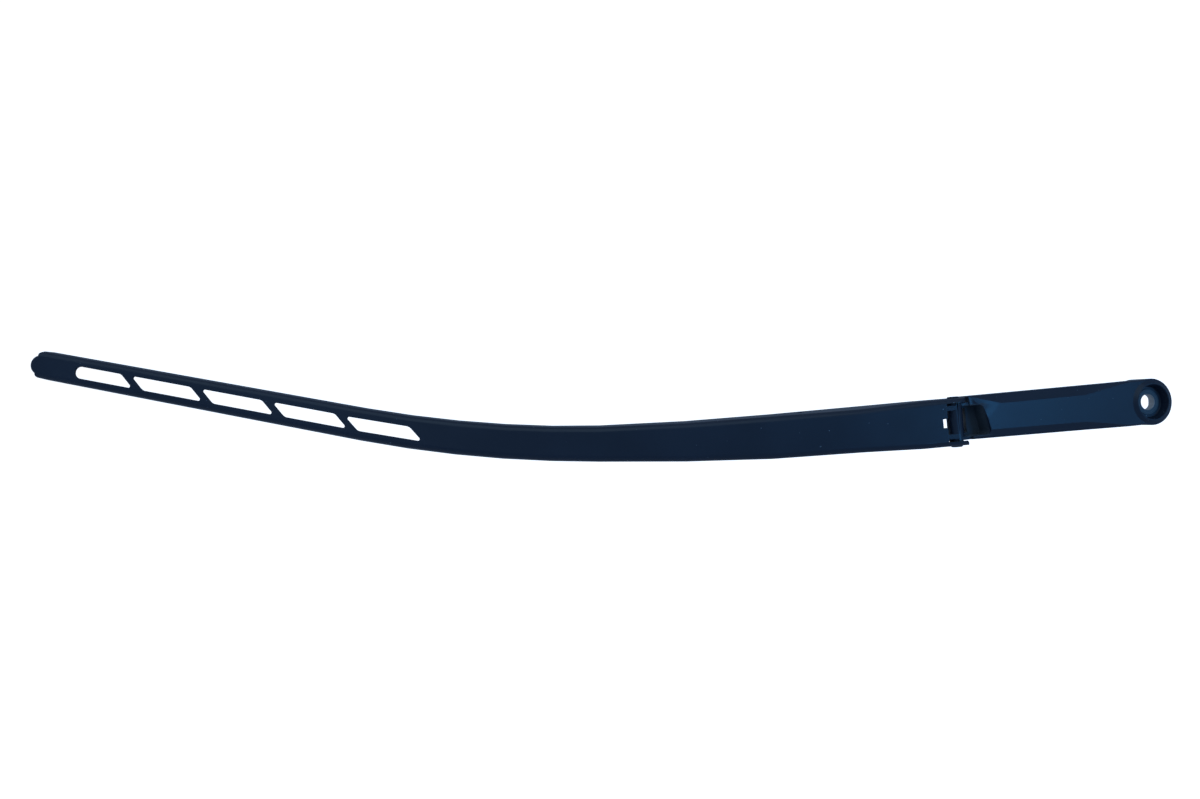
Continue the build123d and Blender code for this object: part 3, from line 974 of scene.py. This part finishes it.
@dataclass
class PressedArm:
    """Pressed channel with its hinge rivet and its anchor pin."""

    edges: SoftEdges = field(default_factory=lambda: SoftEdges(width=0.3 * MM))
    ear_outside: float = 13.2 * MM
    rivet_radius: float = 2.25 * MM
    rivet_head_radius: float = 3.1 * MM
    rivet_head_height: float = 0.8 * MM
    rivet_rounding: float = 0.55 * MM
    anchor_radius: float = 2.0 * MM
    anchor_rounding: float = 0.3 * MM
    anchor_inset: float = 0.4 * MM

    def build(self) -> None:
        """Round the pressing's corners and turn its two pins."""
        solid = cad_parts["arm_channel"]
        pressing = self.edges.soften(solid, "pressed_arm", ARM_FINISH.material())
        self.fit(pressing, "arm_channel")
        coat = RIVET_FINISH.material()
        rivet = self.rivet_profile().turn(middle_of("hinge_pin"), "hinge_rivet", coat)
        self.fit(rivet, "hinge_pin")
        anchor = self.anchor_profile().turn(middle_of("anchor_pin"), "spring_anchor", coat)
        self.fit(anchor, "anchor_pin")

    def fit(self, piece: bpy.types.Object, node: str) -> None:
        """Put a piece on the arm in place of its solid.

        Args:
            piece: The new piece.
            node: The solid it stands for.
        """
        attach(piece, Body.ARM.value)
        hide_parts(node)
        report(piece, Body.ARM.value)

    def rivet_profile(self) -> TurnedPiece:
        """Profile of the hinge rivet, with a rounded head outside each ear.

        Returns:
            The piece to turn.
        """
        head_end = self.ear_outside + self.rivet_head_height
        return TurnedPiece(
            (
                Station(-head_end, 0.0),
                Station(-head_end, self.rivet_head_radius, self.rivet_rounding),
                Station(-self.ear_outside, self.rivet_head_radius),
                Station(-self.ear_outside, self.rivet_radius),
                Station(self.ear_outside, self.rivet_radius),
                Station(self.ear_outside, self.rivet_head_radius),
                Station(head_end, self.rivet_head_radius, self.rivet_rounding),
                Station(head_end, 0.0),
            )
        )

    def anchor_profile(self) -> TurnedPiece:
        """Profile of the anchor pin, with rounded ends just inside the walls.

        Returns:
            The piece to turn.
        """
        low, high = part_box("anchor_pin")
        half = (high[1] - low[1]) / 2 - self.anchor_inset
        return TurnedPiece(
            (
                Station(-half, 0.0),
                Station(-half, self.anchor_radius, self.anchor_rounding),
                Station(half, self.anchor_radius, self.anchor_rounding),
                Station(half, 0.0),
            )
        )


@dataclass
class SpringSet:
    """Wire yoke on its pin, and the tension spring that it pulls on."""

    yoke_wire: float = 1.05 * MM
    yoke_reach: float = 17.5 * MM
    belly_drop: float = 7.0 * MM
    belly_far: float = 12.5 * MM
    half_width: float = 5.0 * MM
    bend_radius: float = 2.2 * MM
    hook_radius: float = 3.15 * MM
    hook_tip: float = math.radians(125.0)
    hook_tail: float = math.radians(-60.0)
    spring_wire: float = 1.2 * MM
    coil_radius: float = 3.95 * MM
    coil_turns: int = 13
    near_gap: float = 8.0 * MM
    far_gap: float = 16.0 * MM
    near_eye: float = 2.4 * MM
    far_eye: float = 3.35 * MM
    eye_turn: float = math.radians(225.0)
    corner_reach: float = 1.6 * MM
    sides: int = 18
    bend_steps: int = 8
    hook_steps: int = 24
    turn_steps: int = 36

    def __post_init__(self) -> None:
        """Lay the spring's line from the yoke pin to the anchor pin, and the coil on it."""
        self.start = middle_of("spring_pin")
        to_anchor = middle_of("anchor_pin") - self.start
        to_anchor.y = 0.0
        self.length = to_anchor.length
        self.forward = -to_anchor.normalized()
        self.up = self.forward.cross(AXIS_Y)
        self.coil_near = -self.yoke_reach - self.near_gap
        self.coil_far = self.far_gap - self.length

    def at(self, forward: float, across: float, up: float) -> Vector:
        """Point given from the yoke pin, forward along the spring's line."""
        return self.start + self.aim(forward, across, up)

    def aim(self, forward: float, across: float, up: float) -> Vector:
        """Direction given along the spring's line, across it and up."""
        return self.forward * forward + AXIS_Y * across + self.up * up

    def on_loop(self, middle: float, across: float, radius: float, angle: float) -> Vector:
        """Point on a hook or an eye, at an angle up from the forward direction."""
        return self.at(middle + radius * math.cos(angle), across, radius * math.sin(angle))

    def round_loop(self, angle: float) -> Vector:
        """Direction of a hook's or an eye's wire at an angle, towards smaller angles."""
        return self.aim(math.sin(angle), 0.0, -math.cos(angle))

    def build(self) -> None:
        """Bend the yoke and coil the spring."""
        finish = WIRE_FINISH.material()
        yoke = self.bend_yoke(finish)
        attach(yoke, Body.YOKE.value)
        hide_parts("spring_yoke")
        report(yoke, Body.YOKE.value)
        spring = self.coil_spring(finish)
        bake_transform(spring)
        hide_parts("tension_spring")
        report(spring, Body.SPRING.value)

    def bend_yoke(self, finish: bpy.types.Material) -> bpy.types.Object:
        """Bend the yoke: hook, belly, cross bar, belly, hook.

        Args:
            finish: Its material.

        Returns:
            The new object.
        """
        turn = self.hook_tip - self.hook_tail
        tail_forward = self.hook_radius * math.cos(self.hook_tail)
        tail_up = self.hook_radius * math.sin(self.hook_tail)
        belly_near = tail_forward + (self.belly_drop + tail_up) * math.tan(self.hook_tail)
        near, far = Side.NEAR.value * self.half_width, Side.FAR.value * self.half_width
        pen = WirePen(
            self.on_loop(0.0, near, self.hook_radius, self.hook_tip),
            self.round_loop(self.hook_tip),
            self.yoke_wire,
            self.sides,
        )
        pen.swing(self.at(0.0, near, 0.0), AXIS_Y, turn, self.hook_steps)
        corners = [
            self.at(belly_near, near, -self.belly_drop),
            self.at(-self.belly_far, near, -self.belly_drop),
            self.at(-self.yoke_reach, near, 0.0),
            self.at(-self.yoke_reach, far, 0.0),
            self.at(-self.belly_far, far, -self.belly_drop),
            self.at(belly_near, far, -self.belly_drop),
            self.at(tail_forward, far, tail_up),
        ]
        for corner, following in zip(corners, corners[1:]):
            heading = following - corner
            reach = self.bend_radius * math.tan(pen.heading.angle(heading) / 2)
            pen.bend_at(corner, heading, reach, self.bend_steps)
        pen.run_to(corners[-1])
        pen.swing(self.at(0.0, far, 0.0), AXIS_Y, -turn, self.hook_steps)
        return pen.piece("yoke_wire", finish)

    def coil_spring(self, finish: bpy.types.Material) -> bpy.types.Object:
        """Coil the spring, with an open eye at each end.

        Args:
            finish: Its material.

        Returns:
            The new object.
        """
        lead = (self.coil_near - self.coil_far) / (self.coil_turns * math.tau)
        slope = math.hypot(self.coil_radius, lead)
        lag = math.atan(self.corner_reach / slope)
        drop = self.coil_radius * (math.cos(lag) + self.corner_reach * math.sin(lag) / slope)
        shift = lead * (self.corner_reach / slope - lag)
        corner_near = self.coil_near + shift
        corner_far = self.coil_far - shift
        tip = self.eye_turn + self.touch_angle(
            corner_near + self.yoke_reach, -drop, self.near_eye, Run.LEAVING
        )
        pen = WirePen(
            self.on_loop(-self.yoke_reach, 0.0, self.near_eye, tip),
            self.round_loop(tip),
            self.spring_wire,
            self.sides,
        )
        pen.swing(self.at(-self.yoke_reach, 0.0, 0.0), AXIS_Y, self.eye_turn, self.hook_steps)
        corner = self.at(corner_near, 0.0, -drop)
        onto_coil = self.aim(
            -lead, self.coil_radius * math.cos(lag), self.coil_radius * math.sin(lag)
        )
        pen.bend_at(corner, onto_coil, self.corner_reach, self.bend_steps)
        coil_angle = self.coil_turns * math.tau - 2 * lag
        pen.swing(
            self.at(self.coil_near, 0.0, 0.0),
            self.forward,
            coil_angle,
            self.coil_turns * self.turn_steps,
            -lead * coil_angle,
        )
        touch_far = self.touch_angle(corner_far + self.length, -drop, self.far_eye, Run.COMING)
        touch = self.on_loop(-self.length, 0.0, self.far_eye, touch_far)
        corner = self.at(corner_far, 0.0, -drop)
        pen.bend_at(corner, touch - corner, self.corner_reach, self.bend_steps)
        pen.run_to(touch)
        pen.swing(self.at(-self.length, 0.0, 0.0), AXIS_Y, self.eye_turn, self.hook_steps)
        return pen.piece("spring_coil", finish)

    @staticmethod
    def touch_angle(forward: float, up: float, radius: float, run: Run) -> float:
        """Angle on an eye at which a straight run from or to a point touches it.

        Args:
            forward: The point, forward of the eye's middle.
            up: The point, above the eye's middle.
            radius: Radius of the eye.
            run: Whether the wire leaves the eye there or comes to it.

        Returns:
            The angle from the forward direction, in radians.
        """
        return math.atan2(up, forward) + run.value * math.acos(radius / math.hypot(forward, up))


# -------------------------------------------------------------------------------- studio


@dataclass(frozen=True)
class SoftSun:
    """A broad, even light from one direction, with its angles in degrees."""

    name: str
    azimuth: float
    elevation: float
    strength: float
    spread: float
    colour: Colour

    def hang(self) -> None:
        """Hang the light, aimed at the object."""
        light = bpy.data.lights.new(self.name, "SUN")
        light.energy = self.strength
        light.angle = math.radians(self.spread)
        light.color = self.colour
        lamp = bpy.data.objects.new(self.name, light)
        turn, lift = math.radians(self.azimuth), math.radians(self.elevation)
        flat = math.cos(lift)
        source = Vector((math.cos(turn) * flat, math.sin(turn) * flat, math.sin(lift)))
        lamp.rotation_euler = source.to_track_quat("Z", "Y").to_euler()
        lamp.location = source
        bpy.context.scene.collection.objects.link(lamp)


@dataclass(frozen=True)
class Studio:
    """Pale floor, soft light and the camera."""

    floor_gap: float = 4.0 * MM
    floor_size: float = 40.0
    floor_colour: Colour = (0.86, 0.86, 0.86)
    floor_shade: float = 0.985
    floor_glow: float = 0.95
    floor_roughness: float = 0.9
    floor_gloss: float = 0.1
    mottle_scale: float = 3.0
    mottle_detail: float = 2.0
    backdrop_radius: float = 16.0
    backdrop_glow: float = 0.93
    backdrop_subdivisions: int = 4
    sky_below: Colour = (0.11, 0.16, 0.24)
    sky_above: Colour = (0.110, 0.195, 0.325)
    sky_range: Range = (0.0, 0.3)
    sensor_width: float = 36.0
    lens: float = 27.9
    clip_start: float = 0.01
    camera_place: tuple[float, float, float] = (-0.42159, 0.03035, 0.46190)
    camera_tilt: float = math.radians(-12.0)
    camera_roll: float = math.radians(-5.2306)
    suns: tuple[SoftSun, ...] = (
        SoftSun("key_light", 112.0, 42.0, 0.36, 60.0, (0.60, 0.85, 1.0)),
        SoftSun("blue_light", 0.0, 65.0, 0.48, 14.0, (0.08, 0.42, 1.0)),
    )

    def build(self) -> None:
        """Set up floor, backdrop, sky, lights and camera."""
        self.lay_floor()
        self.hang_backdrop()
        self.paint_sky()
        for sun in self.suns:
            sun.hang()
        self.set_camera()
        bpy.context.scene.view_settings.view_transform = "Standard"

    def lay_floor(self) -> None:
        """Lay a plain pale floor just under the object."""
        bm = bmesh.new()
        under = Matrix.Translation((0.0, 0.0, CAD_BOX[0][2] - self.floor_gap))
        bmesh.ops.create_grid(bm, x_segments=1, y_segments=1, size=self.floor_size, matrix=under)
        board = NodeBoard("pale_floor")
        mottle = board.spread(board.noise(self.mottle_scale, self.mottle_detail), NOISE_RANGE)
        shade = tuple(self.floor_shade * channel for channel in self.floor_colour)
        board.feed(board.blend(mottle, shade, self.floor_colour), "Base Color")
        board.paint("Emission Color", WHITE)
        board.fix(
            Roughness=self.floor_roughness,
            Emission_Strength=self.floor_glow,
            Specular_IOR_Level=self.floor_gloss,
        )
        floor = place_piece(bm, "studio_floor", board.material)
        floor.visible_glossy = False

    def hang_backdrop(self) -> None:
        """Hang a pale backdrop all round, which is seen but neither lights nor mirrors."""
        bm = bmesh.new()
        bmesh.ops.create_icosphere(
            bm, subdivisions=self.backdrop_subdivisions, radius=self.backdrop_radius
        )
        board = NodeBoard("pale_backdrop")
        board.paint("Base Color", BLACK)
        board.paint("Emission Color", WHITE)
        board.fix(Roughness=1.0, Emission_Strength=self.backdrop_glow, Specular_IOR_Level=0.0)
        backdrop = place_piece(bm, "studio_backdrop", board.material)
        backdrop.visible_diffuse = False
        backdrop.visible_glossy = False
        backdrop.visible_shadow = False

    def paint_sky(self) -> None:
        """Paint a dim sky, lighter and bluer overhead."""
        world = bpy.data.worlds.new("studio_sky")
        bpy.context.scene.world = world
        world.use_nodes = True
        tree = world.node_tree
        background = tree.nodes["Background"]
        place = tree.nodes.new("ShaderNodeTexCoord")
        split = tree.nodes.new("ShaderNodeSeparateXYZ")
        ramp = tree.nodes.new("ShaderNodeValToRGB")
        ramp.color_ramp.interpolation = "EASE"
        for index, colour in enumerate((self.sky_below, self.sky_above)):
            stop = ramp.color_ramp.elements[index]
            stop.position = self.sky_range[index]
            stop.color = (*colour, 1.0)
        tree.links.new(place.outputs["Generated"], split.inputs["Vector"])
        tree.links.new(split.outputs["Z"], ramp.inputs["Fac"])
        tree.links.new(ramp.outputs["Color"], background.inputs["Color"])

    def set_camera(self) -> None:
        """Put the camera above the arm, a little tilted and rolled."""
        lens = bpy.data.cameras.new("camera")
        lens.sensor_width = self.sensor_width
        lens.sensor_fit = "HORIZONTAL"
        lens.lens = self.lens
        lens.clip_start = self.clip_start
        camera = bpy.data.objects.new("camera", lens)
        camera.matrix_world = (
            Matrix.Translation(self.camera_place)
            @ Matrix.Rotation(self.camera_tilt, 4, "Y")
            @ Matrix.Rotation(self.camera_roll, 4, "Z")
        )
        bpy.context.scene.collection.objects.link(camera)
        bpy.context.scene.camera = camera


def main() -> None:
    """Build the assemblies in order, then the studio."""
    logging.basicConfig(level=logging.INFO, format="%(message)s")
    CastHead().build()
    PressedArm().build()
    SpringSet().build()
    Studio().build()


if __name__ == "__main__":
    main()
